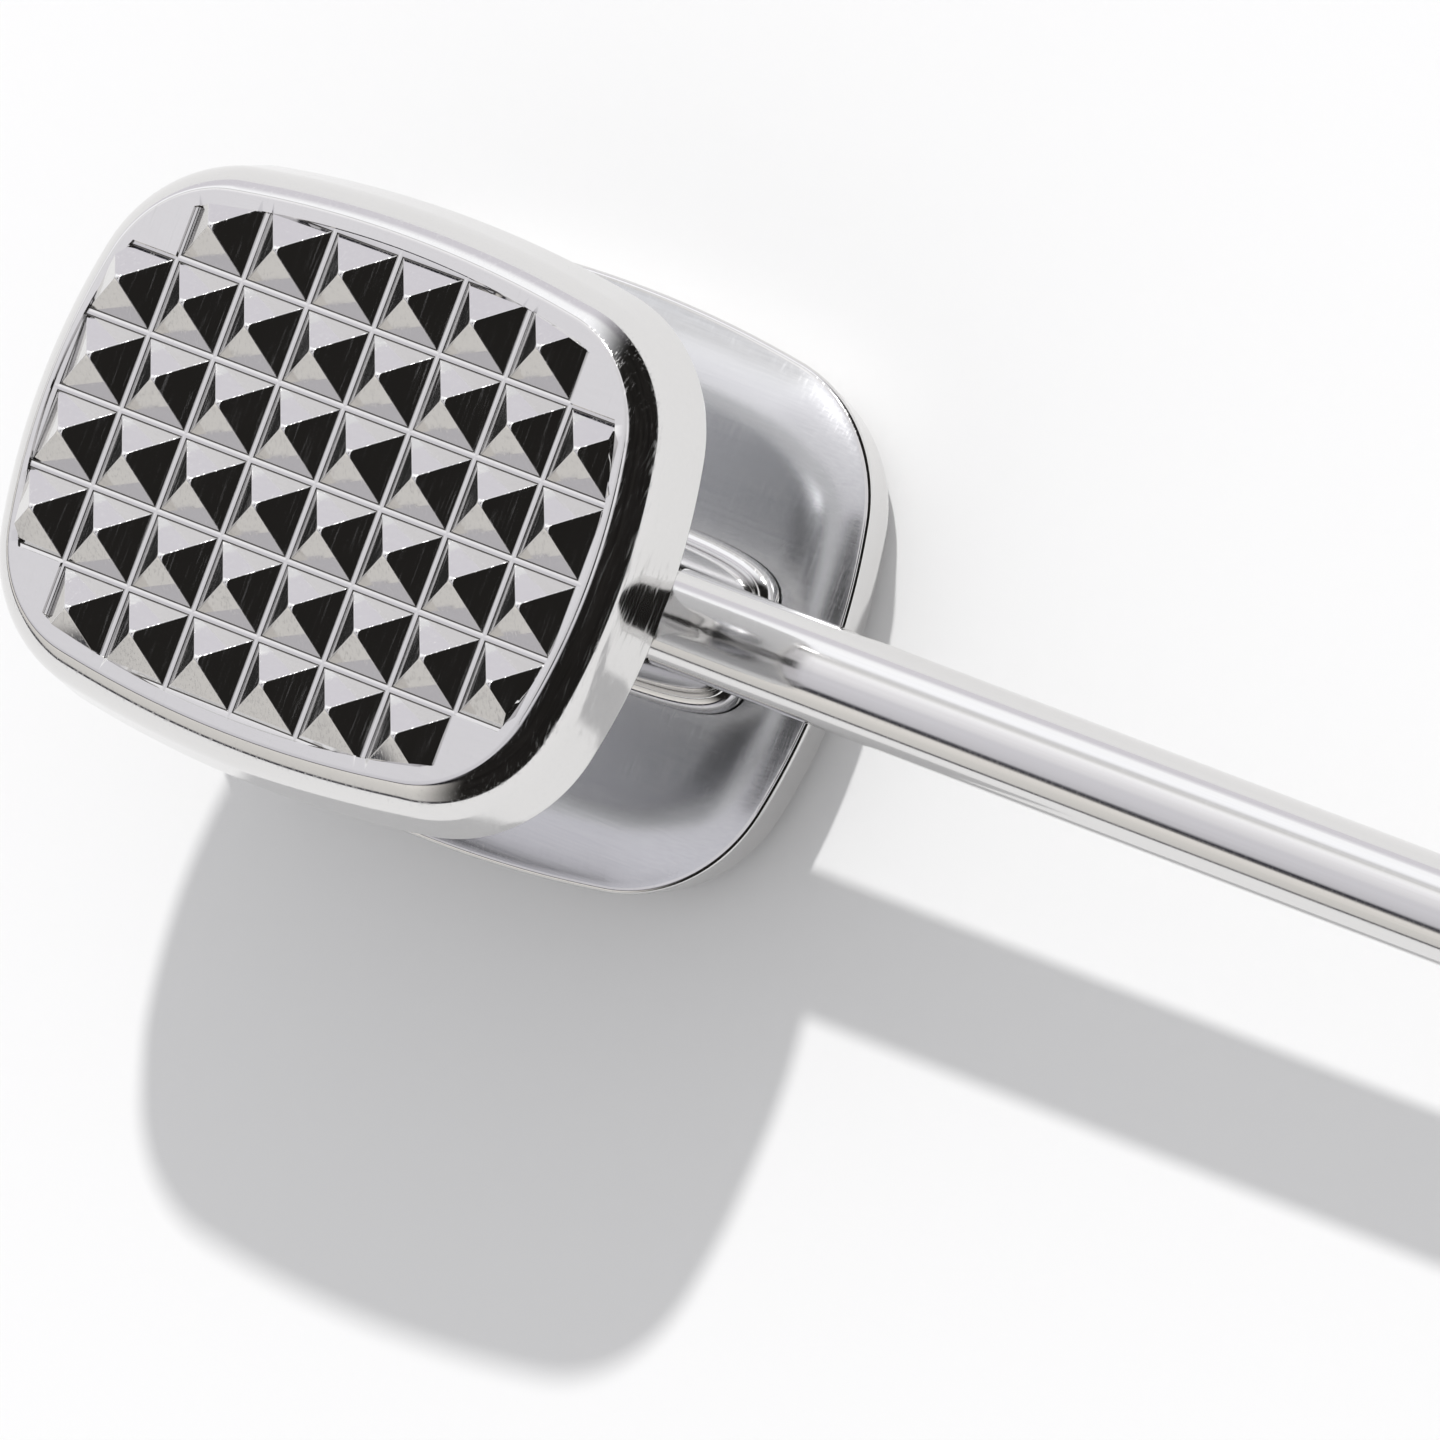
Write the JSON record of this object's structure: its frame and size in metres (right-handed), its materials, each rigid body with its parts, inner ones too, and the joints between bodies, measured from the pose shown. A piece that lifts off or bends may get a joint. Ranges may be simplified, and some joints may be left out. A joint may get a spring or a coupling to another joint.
{
  "type": "meat mallet",
  "caption": "Two-faced steel meat mallet: a coarse pyramid-toothed plate and a smooth plate on a narrow web, with a straight round handle.",
  "frame": {"origin": "middle of the smooth striking face, which is the flat face that the mallet stands on", "axes": "+X along the handle towards its butt, +Z out of the toothed face, +Y across the head"},
  "size_m": [0.2704, 0.0594, 0.0552],
  "materials": {
    "polished_plate": "bright polished stainless steel, satin on the inner faces",
    "polished_web": "bright polished stainless steel",
    "brushed_handle": "polished stainless steel with fine lengthwise brushing",
    "plain_steel": "plain machined steel, hidden inside"
  },
  "bodies": {
    "root": {"coarse_striking_plate": "polished_plate", "smooth_striking_plate": "polished_plate", "centre_web": "polished_web", "coarse_plate_pin_fore": "plain_steel", "coarse_plate_pin_aft": "plain_steel", "smooth_plate_pin_fore": "plain_steel", "smooth_plate_pin_aft": "plain_steel", "handle_tube": "brushed_handle", "handle_spigot": "plain_steel", "handle_end_plug": "brushed_handle"}
  },
  "joints": []
}
